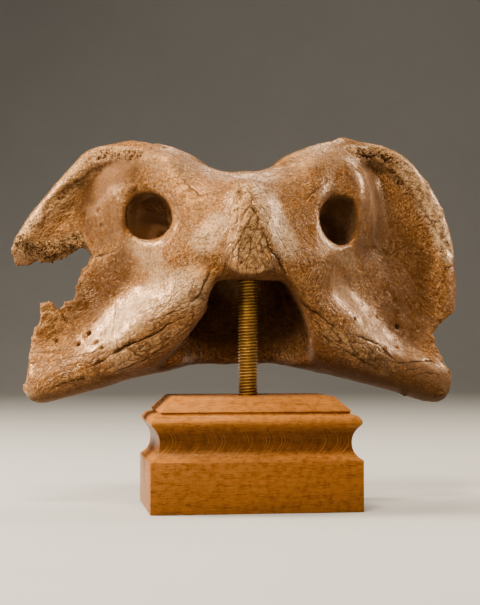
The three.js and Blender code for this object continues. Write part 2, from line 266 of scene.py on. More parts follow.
# Here the skin is pale and chalky,
CHALKY = [
    ([(250, 195), (248, 225), (250, 262)], 14.0, 1.0),
    ([(95, 150), (60, 195), (22, 238)], 9.0, 0.55),
    ([(20, 246), (70, 250)], 9.0, 0.3),
    ([(375, 148), (408, 166), (432, 200), (448, 240)], 8.5, 1.0),
    ([(120, 362), (160, 346), (188, 330)], 9.0, 0.7),
    ([(330, 330), (365, 345), (392, 366)], 8.0, 0.5),
    ([(160, 285), (185, 300), (130, 320)], 14.0, 0.35),
]
# here it is stained darker, and darkened with painted shade on the right wing, at its tip and beside the left
# foramen,
STAINED_AND_SHADED = [
    ([(131, 188), (134, 196)], 5.0, 0.8),
    ([(66, 188), (62, 194)], 4.0, 0.7),
    ([(354, 186), (352, 176), (353, 168)], 6.0, 0.5),
    ([(385, 235), (408, 268), (403, 322)], 21.0, 0.9),
    ([(368, 162), (380, 200), (384, 234)], 12.0, 0.9),
    ([(94, 190), (106, 176), (124, 168)], 15.0, 1.0),
    ([(360, 245), (385, 262)], 7.0, 0.5),
    ([(84, 306), (102, 286), (122, 266)], 13.0, 1.0),
    ([(82, 205), (104, 226), (118, 205)], 13.0, 0.6),
    ([(385, 372), (412, 384), (440, 390)], 20.0, 1.0),
    ([(340, 370), (385, 388)], 9.0, 0.6),
]
# here it is worn pale, and painted pale as highlights where the lamps shine on it,
WORN_AND_HIGHLIGHTS = [
    ([(112, 328), (140, 304), (165, 290), (188, 292)], 14.0, 1.0),
    ([(138, 245), (152, 262), (166, 284)], 9.0, 0.6),
    ([(265, 194), (273, 216), (287, 246)], 10.0, 1.0),
    ([(360, 328), (378, 340)], 6.0, 0.7),
    ([(336, 248), (352, 264)], 6.0, 0.5),
    ([(300, 158), (335, 152)], 10.0, 0.3),
    ([(404, 168), (420, 188), (430, 205)], 6.0, 0.7),
    ([(428, 203), (440, 225), (449, 252)], 8.0, 1.0),
    ([(150, 158), (185, 170)], 8.0, 0.3),
    ([(204, 240), (216, 224)], 9.0, 1.0),
]
# here it has lost its gloss,
MATT = [
    ([(94, 188), (108, 174), (126, 166)], 15.0, 1.0),
    ([(172, 202), (175, 220), (168, 236)], 4.0, 1.0),
    ([(330, 198), (327, 220), (334, 238)], 4.0, 1.0),
    ([(366, 165), (376, 200), (380, 232)], 9.0, 1.0),
    ([(336, 284), (352, 304)], 9.0, 0.6),
    ([(400, 368), (425, 378), (445, 388)], 12.0, 1.0),
]
# and here it is rough with crackle.
CRACKLED = [
    ([(250, 190), (250, 222), (250, 262)], 17.0, 1.0),
    ([(60, 372), (110, 364), (160, 342), (196, 310)], 13.0, 1.0),
    ([(322, 322), (350, 345), (395, 368)], 11.0, 1.0),
    ([(40, 240), (60, 200), (95, 165)], 9.0, 0.5),
    ([(395, 165), (430, 205), (449, 250)], 8.0, 0.6),
    ([(150, 310), (185, 296)], 12.0, 0.7),
]
# Here the bone swells out further to the front, by the last number in millimetres.
SWELLINGS = [
    ([(140, 342), (176, 326), (204, 300)], 21.0, 5.0),
    ([(250, 192), (255, 225), (258, 258)], 15.0, 2.8),
]
TRACE_STEP = 0.6
CRACK_REACH = 3.2
SCARP_REACH = 7.0


def trace(tree, pixels):
    """Follows a line of the photograph's pixels, or one pixel, over the bone: its points in millimetres."""
    found = []
    for start, end in list(zip(pixels, pixels[1:])) or [(pixels[0], pixels[0])]:
        steps = max(1, round(math.dist(start, end) / TRACE_STEP))
        for i in range(steps + 1):
            x, y = (a + (b - a) * i / steps for a, b in zip(start, end))
            point = tree.ray_cast(camera.location, photo_ray(x, y))[0]
            if point is not None:
                found.append(point / MM)
    return np.array(found)


def nearest(points, line, reach):
    """Each point's distance to a line's nearest sample, or the reach, and that sample's number, or -1."""
    distance = np.full(len(points), float(reach))
    number = np.full(len(points), -1)
    low, high = line.min(0) - reach, line.max(0) + reach
    inside = np.flatnonzero(((points > low) & (points < high)).all(1))
    squares = ((points[inside][:, None, :] - line[None]) ** 2).sum(2)
    closest = squares.argmin(1)
    gap_shade = np.sqrt(squares[np.arange(len(inside)), closest])
    near = gap_shade < reach
    distance[inside[near]] = gap_shade[near]
    number[inside[near]] = closest[near]
    return distance, number


def smoothstep(low, high, value):
    t = np.clip((value - low) / (high - low), 0, 1)
    return t * t * (3 - 2 * t)


def painted(points, areas):
    """How strongly the areas cover each point: in full on a line, and not at all beyond its radius."""
    cover = np.zeros(len(points))
    for line, radius, strength in areas:
        distance, _ = nearest(points, line, radius)
        cover = np.maximum(cover, strength * smoothstep(radius, 0.4 * radius, distance))
    return cover


def noise_at(points, size, shift=0.0):
    """Perlin noise at each point, about one wave per size."""
    return np.array([noise.noise(Vector(p) / size + Vector((shift, 0, 0))) for p in points])


def wandered(points, reach, size):
    """The points moved about by noise."""
    return points + reach * np.array([noise.noise_vector(Vector(p) / size) for p in points])


bone_tree = BVHTree.FromBMesh(bone)
cracks = [(trace(bone_tree, pixels), width, deep) for pixels, width, deep in CRACKS]
holes = [(trace(bone_tree, pixels)[:1], radius, deep) for pixels, radius, deep in HOLES]
scarps = [trace(bone_tree, pixels) for pixels in SCARPS]
area_lists = (SPONGY, CHALKY, STAINED_AND_SHADED, WORN_AND_HIGHLIGHTS, MATT, CRACKLED, SWELLINGS)
spongy_areas, chalky_areas, stain_and_shade_areas, worn_highlight_areas, matt_areas, crackled_areas, swellings = (
    [(trace(bone_tree, pixels), radius, strength) for pixels, radius, strength in areas]
    for areas in area_lists)


TORN_REACH, TORN_CORE = 3.0, 0.8
WINGS_START, WINGS_FULL = 62, 72


def torn_share(points):
    """How near each point is to the edge of a break through a wing."""
    far = np.array([breaks.find(p * MM)[2] for p in points]) / MM
    in_wing = smoothstep(WINGS_START, WINGS_FULL, np.abs(points[:, 0]))
    return smoothstep(TORN_REACH, TORN_CORE, far) * in_wing


def refine(bm, chosen):
    """Splits the edges between chosen points."""
    edges = [e for e in bm.edges if all(chosen[v.index] for v in e.verts)]
    bmesh.ops.subdivide_edges(bm, edges=edges, cuts=1, use_grid_fill=True)
    bm.verts.index_update()
    bm.normal_update()


# The skin is twice as fine where it has small forms, and finer still where it is most open.
FINE_REACH = 0.75 * CRACK_REACH
TORN_ENOUGH, OPEN_ENOUGH = 0.3, 0.62
start = places_of(bone)
small_forms = painted(start, spongy_areas) > 0
for line in [line for line, _, _ in cracks] + [spot for spot, _, _ in holes]:
    small_forms |= nearest(start, line, FINE_REACH)[1] >= 0
small_forms |= torn_share(start) > TORN_ENOUGH
refine(bone, small_forms)
refine(bone, painted(places_of(bone), spongy_areas) > OPEN_ENOUGH)

skin = places_of(bone)
outward = np.array([v.normal for v in bone.verts])
count = len(skin)
# The edges of all areas and lines wander: how far, and over what distance, in millimetres.
WANDERINGS = ((0.55, 3.0), (0.35, 1.3))
wandering = skin
for reach, size in WANDERINGS:
    wandering = wandered(wandering, reach, size)

# Cracks run unevenly: they widen, close up and jump, and the bone stands up a little along their lower side.
OPENING_SIZE, LEAST_OPEN = 6.0, 0.3
GROOVE_DEPTH, GROOVE_EDGE = 0.8, 0.45
LIP_HEIGHT, LIP_AWAY, LIP_WIDTH = 0.3, 0.8, 0.9
HOLE_EDGE = 0.6
crack_side = np.full(count, CRACK_REACH)
crack_share = np.zeros(count)
depth = np.zeros(count)
hole_shade = np.zeros(count)
for line, width, deep in cracks:
    distance, number = nearest(wandering, line, CRACK_REACH)
    near = np.flatnonzero(number >= 0)
    sample = number[near]
    along = np.gradient(line, axis=0)
    along /= np.linalg.norm(along, axis=1)[:, None] + 1e-9
    across = np.cross(outward[near], along[sample])
    side = ((wandering[near] - line[sample]) * across).sum(1)
    part = sample / (len(line) - 1)
    ends = np.clip(5 * part * (1 - part), 0.05, 1) ** 0.5
    opening = smoothstep(-0.4, 0.15, noise_at(line, OPENING_SIZE))
    open_share = (LEAST_OPEN + (1 - LEAST_OPEN) * opening)[sample] * ends
    half = 0.5 * width * (0.25 + 0.8 * open_share)
    close = smoothstep(CRACK_REACH, 0.3 * CRACK_REACH, distance[near])
    wedge = np.clip(1 - np.abs(side) / (half + GROOVE_EDGE), 0, 1)
    groove = GROOVE_DEPTH * deep * open_share * close * wedge
    lip = LIP_HEIGHT * deep * ends * close * np.exp(-((side + half + LIP_AWAY) / LIP_WIDTH) ** 2)
    depth[near] = np.maximum(depth[near], groove) - lip
    nearer = distance[near] < np.abs(crack_side[near])
    crack_side[near[nearer]] = (side / (half + 0.1))[nearer]
    crack_share[near[nearer]] = (close * ends * min(1, 0.5 + 0.5 * width))[nearer]
# Nutrient holes are sunk into the skin and painted dark inside as their shade.
for spot, radius, deep in holes:
    distance, _ = nearest(skin, spot, CRACK_REACH)
    bowl = smoothstep(radius + HOLE_EDGE, 0.4 * radius, distance)
    depth = np.maximum(depth, deep * bowl)
    hole_shade = np.maximum(hole_shade, bowl)

# Spongy bone: rounded cells of two sizes, each with its depth, between walls that crumble by a height, a size
# and a noise shift. The more spongy the place, the more of its cells are open.
SPONGE_CELLS = ((2.3, 0.9), (1.2, 0.6))
CRUMBLINGS = ((0.35, 1.6, 5.0), (0.4, 4.0, 3.0))
CHANCE_SCALE = 7.3
spongy = painted(wandering, spongy_areas)
cellular = np.zeros(count)
opened_up = np.flatnonzero(spongy > 0.05)
for cell_size, cell_depth in SPONGE_CELLS:
    for i in opened_up:
        spot = Vector(skin[i]) / cell_size
        spot += 0.5 * noise.noise_vector(spot * 0.8)
        gaps, centres = noise.voronoi(spot)
        chance = noise.cell(centres[0] * CHANCE_SCALE) * 0.5 + 0.5
        opened = smoothstep(0.95 - 0.75 * spongy[i], 1.05 - 0.6 * spongy[i], chance)
        cell = smoothstep(0.08, 0.5, gaps[1] - gaps[0]) * opened
        depth[i] += cell_depth * cell * spongy[i]
        cellular[i] = max(cellular[i], cell)
for height, size, shift in CRUMBLINGS:
    depth[opened_up] += spongy[opened_up] * height * noise_at(skin[opened_up], size, shift)

# Scarps: the swollen margin stands above the plate inside it.
SCARP_RISE, SCARP_FALL, SCARP_HALF_WIDTH = 0.45, 0.9, 0.9
BONE_MIDDLE = np.array([0, -6, 118])
for line in scarps:
    distance, number = nearest(wandering, line, SCARP_REACH)
    near = np.flatnonzero(number >= 0)
    away = line[number[near]] - BONE_MIDDLE
    away /= np.linalg.norm(away, axis=1)[:, None]
    side = ((wandering[near] - line[number[near]]) * away).sum(1)
    fade = smoothstep(SCARP_REACH, 0.25 * SCARP_REACH, distance[near])
    front = smoothstep(0.1, -0.3, outward[near][:, 1])
    step = smoothstep(-SCARP_HALF_WIDTH, SCARP_HALF_WIDTH, side)
    depth[near] += fade * front * (SCARP_FALL * (1 - step) - SCARP_RISE * step)

# Low down the fibres run up from both tips of the bone to its middle, and higher up the other way. Their
# slopes are in degrees, seen from the front.
RISING, FALLING = 31, -35
RIDGE_HEIGHT, RIDGE_LENGTH, RIDGE_WIDTH = 0.10, 15, 3.4
low_down = smoothstep(150, 125, skin[:, 2])
outer_left = smoothstep(-68, -88, skin[:, 0])
on_right = smoothstep(-10, 10, skin[:, 0])
falling = (1 - on_right) * (1 - np.maximum(low_down, outer_left)) + on_right * low_down


def ridges(degrees):
    """Noise drawn out along a direction in the bone's broad plane."""
    turn = math.radians(degrees)
    along = skin[:, 0] * math.cos(turn) + skin[:, 2] * math.sin(turn)
    across = skin[:, 2] * math.cos(turn) - skin[:, 0] * math.sin(turn)
    drawn_out = [along / RIDGE_LENGTH, across / RIDGE_WIDTH, skin[:, 1] / RIDGE_WIDTH]
    return noise_at(np.stack(drawn_out, axis=1), 1.0)


fibrous = RIDGE_HEIGHT * ((1 - falling) * ridges(RISING) + falling * ridges(FALLING))
swelling = painted(skin, swellings) * smoothstep(25, 12, skin[:, 1])

# Broken margins are ragged, and all the skin is uneven: each wave has a height, a size and a noise shift.
RAGGINGS = ((0.8, 3.4), (0.8, 1.3))
WAVES = ((0.5, 17.0, 0.0), (0.2, 6.0, 9.0), (0.07, 2.6, 21.0))
BOX_MARGIN = 0.02
RELIEF_ROUNDS = 24
torn = torn_share(skin)
at_edge = np.flatnonzero(torn > 0.01)
ragged = skin[at_edge]
for reach, size in RAGGINGS:
    ragged = wandered(ragged, reach, size)
skin[at_edge] += torn[at_edge][:, None] * (ragged - skin[at_edge])
depth += fibrous
for height, size, shift in WAVES:
    depth += height * noise_at(skin, size, shift)
skin -= outward * depth[:, None]
skin[:, 1] -= swelling
low, high = (np.array(corner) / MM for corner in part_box("vertebra"))
skin = np.clip(skin, low + BOX_MARGIN, high - BOX_MARGIN)
move_to(bone, skin)
relief = ((skin - evened_out(bone, skin, RELIEF_ROUNDS)) * outward).sum(1)

# Painted light brightens the walls deep in the foramina, less in the right one: where rays from a point meet
# the bone again.
RAYS, RAY_TILT, RAY_START, RAY_LENGTH = 9, math.radians(48), 1.5, 70
ENCLOSED_ROUNDS = 12


def closed_in(point, normal):
    """The share of the rays from a point that meet the bone again."""
    start = Vector(point + normal * RAY_START) * MM
    straight = Vector(normal)
    if cad_tree.ray_cast(start, straight, RAY_LENGTH * MM)[0] is None:
        return 0.0
    leaning = Matrix.Rotation(RAY_TILT, 3, straight.orthogonal()) @ straight
    fan = [Matrix.Rotation(2 * math.pi * i / RAYS, 3, straight) @ leaning for i in range(RAYS)]
    return sum(cad_tree.ray_cast(start, ray, RAY_LENGTH * MM)[0] is not None for ray in fan) / RAYS


enclosed = np.array([closed_in(point, normal) for point, normal in zip(skin, outward)])
enclosed = evened_out(bone, enclosed[:, None], ENCLOSED_ROUNDS)[:, 0]

# Painted shade darkens the wall of the spinal canal: what faces its axis from nearby, and isn't below its
# mouth.
CANAL_MIDDLE = np.array([-2, 15, 118])
CANAL_WAY = np.array([0, 0.2588, 0.9659])
CANAL_REACH, CANAL_END, CANAL_FADE = 34, -38, 8
from_axis = skin - CANAL_MIDDLE
along_axis = from_axis @ CANAL_WAY
from_axis -= along_axis[:, None] * CANAL_WAY
from_axis_far = np.linalg.norm(from_axis, axis=1)
facing_axis = -(from_axis * outward).sum(1) / from_axis_far
canal_shade = smoothstep(CANAL_REACH, 0.8 * CANAL_REACH, from_axis_far) * smoothstep(0.0, 0.4, facing_axis)
canal_shade *= smoothstep(CANAL_END, CANAL_END + CANAL_FADE, along_axis)

# What the material has to know of each point goes with the mesh.
CREST_INNER, CREST_OUTER = 14, 30
FORAMEN_LIGHT_FROM, LESS_FORAMEN_LIGHT_RIGHT = 0.55, 0.8
# Faces that turn downward are darkened with painted shade.
DOWNWARD, STRAIGHT_DOWN = -0.35, -0.75
mesh = bpy.data.meshes.new("fossil_vertebra")
bone.to_mesh(mesh)
mesh.shade_smooth()
skin_values = {
    "crack_side": crack_side,
    "crack_share": crack_share,
    "hole_shade": hole_shade,
    "spongy": spongy,
    "cellular": cellular,
    "relief": relief,
    "falling": falling,
    "central": smoothstep(CREST_OUTER, CREST_INNER, np.abs(skin[:, 0])),
    "leftish": smoothstep(-CREST_INNER, -CREST_OUTER, skin[:, 0]),
    "rightish": smoothstep(CREST_INNER, CREST_OUTER, skin[:, 0]),
    "chalky": painted(wandering, chalky_areas),
    "stain_and_shade": painted(wandering, stain_and_shade_areas),
    "worn_highlight": painted(wandering, worn_highlight_areas),
    "matt": painted(wandering, matt_areas),
    "crackled": painted(wandering, crackled_areas),
    "torn": torn,
    "painted_foramen_light": smoothstep(FORAMEN_LIGHT_FROM, 1.0, enclosed) * (1 - LESS_FORAMEN_LIGHT_RIGHT * on_right),
    "canal_shade": canal_shade,
    "painted_underside_shade": smoothstep(DOWNWARD, STRAIGHT_DOWN, outward[:, 2]),
}
for name, values in skin_values.items():
    mesh.attributes.new(name, "FLOAT", "POINT").data.foreach_set("value", values.astype(np.float32))
vertebra = bpy.data.objects.new("fossil_vertebra", mesh)
bpy.context.collection.objects.link(vertebra)


def add(tree, kind, inputs=None, **settings):
    """Adds a shader node with its settings, and its inputs as values or as outputs of other nodes."""
    made = tree.nodes.new("ShaderNode" + kind)
    for name, value in settings.items():
        setattr(made, name, value)
    for name, value in (inputs or {}).items():
        if isinstance(value, bpy.types.NodeSocket):
            tree.links.new(value, made.inputs[name])
        else:
            made.inputs[name].default_value = value
    return made


def calc(tree, operation, *values):
    return add(tree, "Math", dict(enumerate(values)), operation=operation).outputs[0]


def summed(tree, *terms):
    """Adds up pairs of a value and its weight."""
    total = 0.0
    for value, weight in terms:
        total = add(tree, "Math", {0: value, 1: weight, 2: total}, operation="MULTIPLY_ADD").outputs[0]
    return total


def spread(tree, value, low, high, to_low=0.0, to_high=1.0):
    """Maps a value smoothly from one range to another and keeps it there."""
    sockets = {"Value": value, "From Min": low, "From Max": high, "To Min": to_low, "To Max": to_high}
    return add(tree, "MapRange", sockets, interpolation_type="SMOOTHSTEP").outputs[0]


def layered(tree, colour, *layers):
    """Lays colours over one another, each by a mask and the strength that it has at most."""
    for mask, strength, over in layers:
        share = calc(tree, "MULTIPLY", mask, strength)
        colour = add(tree, "Mix", {0: share, 6: colour, 7: (*over, 1.0)}, data_type="RGBA").outputs[2]
    return colour


def blended(tree, share, first, second):
    return add(tree, "Mix", {0: share, 2: first, 3: second}).outputs[0]


def split(tree, vector):
    return add(tree, "SeparateXYZ", {0: vector}).outputs


def joined(tree, x, y, z):
    return add(tree, "CombineXYZ", {0: x, 1: y, 2: z}).outputs[0]


def divided(tree, vector, sizes):
    """Divides the parts of a vector by three sizes."""
    return joined(tree, *(calc(tree, "DIVIDE", part, size) for part, size in zip(split(tree, vector), sizes)))


def edge_distance(tree, vector, scale):
    """How far the walls between the cells of a lattice are."""
    cells = add(tree, "TexVoronoi", {"Vector": vector, "Scale": scale}, feature="DISTANCE_TO_EDGE")
    return cells.outputs["Distance"]


def new_group(name, values):
    """A node group that takes a vector and some values, and gives one value."""
    group = bpy.data.node_groups.new(name, "ShaderNodeTree")
    group.interface.new_socket("Vector", in_out="INPUT", socket_type="NodeSocketVector")
    for title, value in values.items():
        group.interface.new_socket(title, in_out="INPUT", socket_type="NodeSocketFloat").default_value = value
    group.interface.new_socket("Value", in_out="OUTPUT", socket_type="NodeSocketFloat")
    given = group.nodes.new("NodeGroupInput").outputs
    result = group.nodes.new("NodeGroupOutput").inputs["Value"]
    return group, given, result


def mottle_group():
    """Uneven patches: a coarse noise with a finer one in it."""
    tree, given, result = new_group("mottle", {"Scale": 50.0})
    finer = calc(tree, "MULTIPLY", given["Scale"], 4.7)
    coarse = add(tree, "TexNoise", {"Vector": given["Vector"], "Scale": given["Scale"], "Detail": 3.0})
    fine = add(tree, "TexNoise", {"Vector": given["Vector"], "Scale": finer, "Detail": 2.0})
    both = summed(tree, (coarse.outputs[0], 0.62), (fine.outputs[0], 0.38))
    tree.links.new(spread(tree, both, 0.38, 0.62), result)
    return tree


def streak_group():
    """Fibres along the vector's X: a noise drawn out to a length and narrow across it, both in metres."""
    tree, given, result = new_group("streaks", {"Length": 0.02, "Width": 0.001})
    drawn = divided(tree, given["Vector"], (given["Length"], given["Width"], given["Width"]))
    lines = add(tree, "TexNoise", {"Vector": drawn, "Scale": 1.0, "Detail": 3.0, "Distortion": 0.5})
    tree.links.new(spread(tree, lines.outputs[0], 0.36, 0.64), result)
    return tree


def pore_group():
    """Small pores: one in a share of the cells of a lattice that may be drawn out along X."""
    tree, given, result = new_group("pores", {"Spacing": 0.002, "Stretch": 1.0, "Size": 0.25, "Share": 0.4})
    spacing = given["Spacing"]
    long_spacing = calc(tree, "MULTIPLY", spacing, given["Stretch"])
    spaced = divided(tree, given["Vector"], (long_spacing, spacing, spacing))
    cells = add(tree, "TexVoronoi", {"Vector": spaced, "Scale": 1.0})
    chance, size_chance, _ = split(tree, cells.outputs["Color"])
    chosen = calc(tree, "LESS_THAN", chance, given["Share"])
    size = calc(tree, "MULTIPLY", given["Size"], spread(tree, size_chance, 0.0, 1.0, 0.5, 1.0))
    inside = spread(tree, cells.outputs["Distance"], size, calc(tree, "MULTIPLY", size, 0.4))
    tree.links.new(calc(tree, "MULTIPLY", inside, chosen), result)
    return tree


MOTTLE, STREAKS, PORES = mottle_group(), streak_group(), pore_group()


def grouped(tree, group, vector, **values):
    """Places a shared group on a vector, with the values it has in this material."""
    made = tree.nodes.new("ShaderNodeGroup")
    made.node_tree = group
    tree.links.new(vector, made.inputs["Vector"])
    for name, value in values.items():
        made.inputs[name].default_value = value
    return made.outputs[0]


def new_material(name):
    material = bpy.data.materials.new(name)
    material.use_nodes = True
    tree = material.node_tree
    where = tree.nodes.new("ShaderNodeTexCoord").outputs["Object"]
    return material, tree, tree.nodes["Principled BSDF"].inputs, where


def turned(tree, where, degrees):
    """Turns the vector so that its X climbs to the right by an angle, seen from the front."""
    return add(tree, "Mapping", {"Vector": where, "Rotation": (0, math.radians(degrees), 0)}).outputs[0]


def bumped(tree, surface, height):
    """Raises the surface by a height in millimetres."""
    bump = add(tree, "Bump", {"Height": height, "Distance": MM})
    tree.links.new(bump.outputs[0], surface["Normal"])


DARK_CARAMEL = (0.018, 0.005, 0.001)
DEEP_CARAMEL = (0.070, 0.020, 0.003)
CARAMEL = (0.130, 0.043, 0.008)
TAN = (0.28, 0.110, 0.023)
CHALK = (0.62, 0.39, 0.19)
STAIN_AND_SHADE = (0.030, 0.010, 0.002)
WORN_HIGHLIGHT_BONE = (0.92, 0.68, 0.44)
PALE_HAIR = (0.56, 0.30, 0.11)
PALE_SCRATCH = (0.58, 0.34, 0.15)
PALE_CRUMB = (0.62, 0.37, 0.17)
HOLLOW_SHADE = (0.05, 0.016, 0.004)
PIT = (0.035, 0.013, 0.004)
CANAL_SHADE_BROWN = (0.018, 0.006, 0.002)
FORAMEN_LIGHT = (0.72, 0.48, 0.26)
GAP_SHADE = (0.010, 0.004, 0.002)
SHORT_FIBRE_SLOPE, SCRATCH_SLOPE, CREST_SLOPE = 12, 62, 70
CRACKLE_SCALE = (150.0, 420.0, 420.0)
GLOSSY, SATIN, MATT_ROUGHNESS, BROKEN_ROUGHNESS = 0.18, 0.38, 0.85, 0.8


def bone_material():
    material, tree, surface, where = new_material("waxed_fossil_bone")
    value = {name: add(tree, "Attribute", attribute_name=name).outputs["Fac"] for name in skin_values}

    rising, dropping = turned(tree, where, RISING), turned(tree, where, FALLING)

    def along_fibres(length, width):
        """Streaks that rise or fall with the fibres."""
        rise = grouped(tree, STREAKS, rising, Length=length, Width=width)
        fall = grouped(tree, STREAKS, dropping, Length=length, Width=width)
        return blended(tree, value["falling"], rise, fall)

    fibres = along_fibres(0.016, 0.0013)
    hairs = along_fibres(0.005, 0.0004)
    bundles = along_fibres(0.022, 0.0016)
    nearly_level, steep = turned(tree, where, SHORT_FIBRE_SLOPE), turned(tree, where, SCRATCH_SLOPE)
    short_fibres = grouped(tree, STREAKS, nearly_level, Length=0.006, Width=0.0011)
    scratches = spread(tree, grouped(tree, STREAKS, steep, Length=0.012, Width=0.0005), 0.75, 1.0)
    patches = grouped(tree, MOTTLE, where, Scale=38.0)
    mottle = grouped(tree, MOTTLE, where, Scale=170.0)
    grit = grouped(tree, MOTTLE, where, Scale=1000.0)
    specks = spread(tree, grouped(tree, MOTTLE, where, Scale=620.0), 0.66, 0.95)
    pale_hairs = spread(tree, hairs, 0.6, 0.95)
    pinholes = grouped(tree, PORES, where, Spacing=0.0017, Size=0.32, Share=0.5)
    crumbs = grouped(tree, PORES, rising, Spacing=0.0013, Stretch=1.8, Size=0.33, Share=0.3)
    cells = spread(tree, edge_distance(tree, where, 850.0), 0.12, 0.35)
    pits = calc(tree, "MULTIPLY", cells, spread(tree, value["spongy"], 0.3, 0.9))

    # Hairline cracks follow the bundles of fibres here and there.
    beside_bundle = calc(tree, "ABSOLUTE", calc(tree, "SUBTRACT", bundles, 0.5))
    beside_fibre = calc(tree, "ABSOLUTE", calc(tree, "SUBTRACT", short_fibres, 0.5))
    beside_any = calc(
        tree, "MAXIMUM", spread(tree, beside_bundle, 0.10, 0.03), spread(tree, beside_fibre, 0.22, 0.06))
    hairlines = calc(tree, "MULTIPLY", beside_any, spread(tree, mottle, 0.2, 0.7))

    # In places they join up into crackle, drawn out along the crest and the fibres beside it.
    crackle = 0.0
    up_crest = turned(tree, where, CREST_SLOPE)
    for way, part in ((up_crest, "central"), (rising, "leftish"), (dropping, "rightish")):
        drawn = add(tree, "Mapping", {"Vector": way, "Scale": CRACKLE_SCALE}).outputs[0]
        bending = add(tree, "TexNoise", {"Vector": drawn, "Scale": 1.3, "Detail": 2.0}).outputs["Color"]
        mixed = {0: 0.45, 4: drawn, 5: bending}
        drawn = add(tree, "Mix", mixed, data_type="VECTOR", blend_type="ADD").outputs[1]
        seams = spread(tree, edge_distance(tree, drawn, 1.0), 0.10, 0.02)
        crackle = calc(tree, "MAXIMUM", crackle, calc(tree, "MULTIPLY", seams, value[part]))
    patchy = spread(tree, mottle, 0.0, 0.5, 0.2, 1.0)
    crackle = calc(tree, "MULTIPLY", crackle, calc(tree, "MULTIPLY", value["crackled"], patchy))

    # The cracks of the mesh are painted dark inside as their shade, with an uneven edge.
    wobble = add(tree, "TexNoise", {"Vector": where, "Scale": 650.0, "Detail": 3.0}).outputs[0]
    beside = calc(tree, "ABSOLUTE", summed(tree, (value["crack_side"], 1.0), (wobble, 2.4), (1.0, -1.2)))
    crack = calc(tree, "MULTIPLY", spread(tree, beside, 1.05, 0.3), value["crack_share"])
    gap_shade = calc(tree, "MAXIMUM", crack, value["hole_shade"])

    chalk = calc(tree, "MULTIPLY", value["chalky"], spread(tree, mottle, 0.0, 1.0, 0.3, 1.0))
    # The worn areas are partly painted highlights, broken up by the grain.
    highlight_grain = spread(tree, summed(tree, (hairs, 0.5), (grit, 0.5)), 0.2, 0.7)
    worn_highlight = calc(tree, "MULTIPLY", value["worn_highlight"], highlight_grain)
    ground = add(tree, "Mix", {0: patches, 6: (*DEEP_CARAMEL, 1), 7: (*CARAMEL, 1)}, data_type="RGBA")
    colour = layered(
        tree, ground.outputs[2],
        (mottle, 0.6, TAN),
        (fibres, 0.8, DARK_CARAMEL),
        (hairs, 0.65, TAN),
        # Painted light on the ridges and painted shade in the hollows.
        (spread(tree, value["relief"], 0.2, 0.9), 0.3, TAN),
        (spread(tree, value["relief"], -0.1, -0.8), 0.65, HOLLOW_SHADE),
        (chalk, 0.75, CHALK),
        (spread(tree, value["spongy"], 0.0, 0.8), 0.45, CHALK),
        # Pale worn bone, and also painted highlights on the faces that catch the lamps.
        (worn_highlight, 0.9, WORN_HIGHLIGHT_BONE),
        (scratches, 0.45, PALE_SCRATCH),
        (pale_hairs, 0.55, PALE_HAIR),
        (grit, 0.6, DARK_CARAMEL),
        (specks, 0.55, PIT),
        # Real stains, and painted shade on the right wing, at its tip and beside the left foramen.
        (value["stain_and_shade"], 0.72, STAIN_AND_SHADE),
        (crumbs, 0.15, PALE_CRUMB),
        (hairlines, 0.85, PIT),
        (crackle, 0.85, PIT),
        (pinholes, 0.85, PIT),
        (pits, 0.6, PIT),
        (value["cellular"], 0.7, PIT),
        # Painted light on the walls inside the foramina.
        (value["painted_foramen_light"], 0.85, FORAMEN_LIGHT),
        # Painted shade on the faces that turn downward.
        (value["painted_underside_shade"], 0.7, DARK_CARAMEL),
        # Painted shade in the spinal canal.
        (value["canal_shade"], 0.95, CANAL_SHADE_BROWN),
        # Painted shade inside the cracks and the holes.
        (gap_shade, 0.93, GAP_SHADE))
    tree.links.new(colour, surface["Base Color"])

    dull = calc(tree, "MAXIMUM", calc(tree, "MAXIMUM", value["spongy"], value["torn"]), gap_shade)
    dull = calc(tree, "MAXIMUM", dull, value["painted_underside_shade"])
    sheen = spread(tree, summed(tree, (mottle, 0.3), (fibres, 0.4), (grit, 0.3)), 0.2, 0.9, GLOSSY, SATIN)
    sheen = blended(tree, value["matt"], sheen, MATT_ROUGHNESS)
    tree.links.new(blended(tree, dull, sheen, BROKEN_ROUGHNESS), surface["Roughness"])
    surface["Specular IOR Level"].default_value = 0.65
    surface["Specular Tint"].default_value = (1.0, 0.50, 0.17, 1.0)
    bumped(tree, surface, summed(
        tree,
        (fibres, -0.055), (hairs, 0.014), (grit, 0.016), (mottle, 0.05), (hairlines, -0.14),
        (crackle, -0.3), (pinholes, -0.2), (crumbs, 0.05), (pits, -0.35), (crack, -0.7)))
    return material


mesh.materials.append(bone_material())
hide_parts("vertebra")
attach(vertebra, "root")


# The rod: a length of M10 brass threaded rod with a pitch of 1.5 mm, cut from stock. It stands in a blind
# hole in the base, and in another in the underside of the bone's arch. Each turn of its thread has a flat
# crest, a flank, a flat root and a flank, which end at shares of the pitch.
THREAD_PITCH = 1.5 * MM
THREAD_DEPTH = 0.85 * MM
THREAD_SIDES = 36
CREST_END, ROOT_START, ROOT_END = 0.16, 0.50, 0.66
CREST_WEAR = 0.02 * MM
WELD = 0.01 * MM
rod_low, rod_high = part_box("rod")
rod_radius = (rod_high.x - rod_low.x) / 2
rod_bottom, rod_top = rod_low.z, rod_high.z


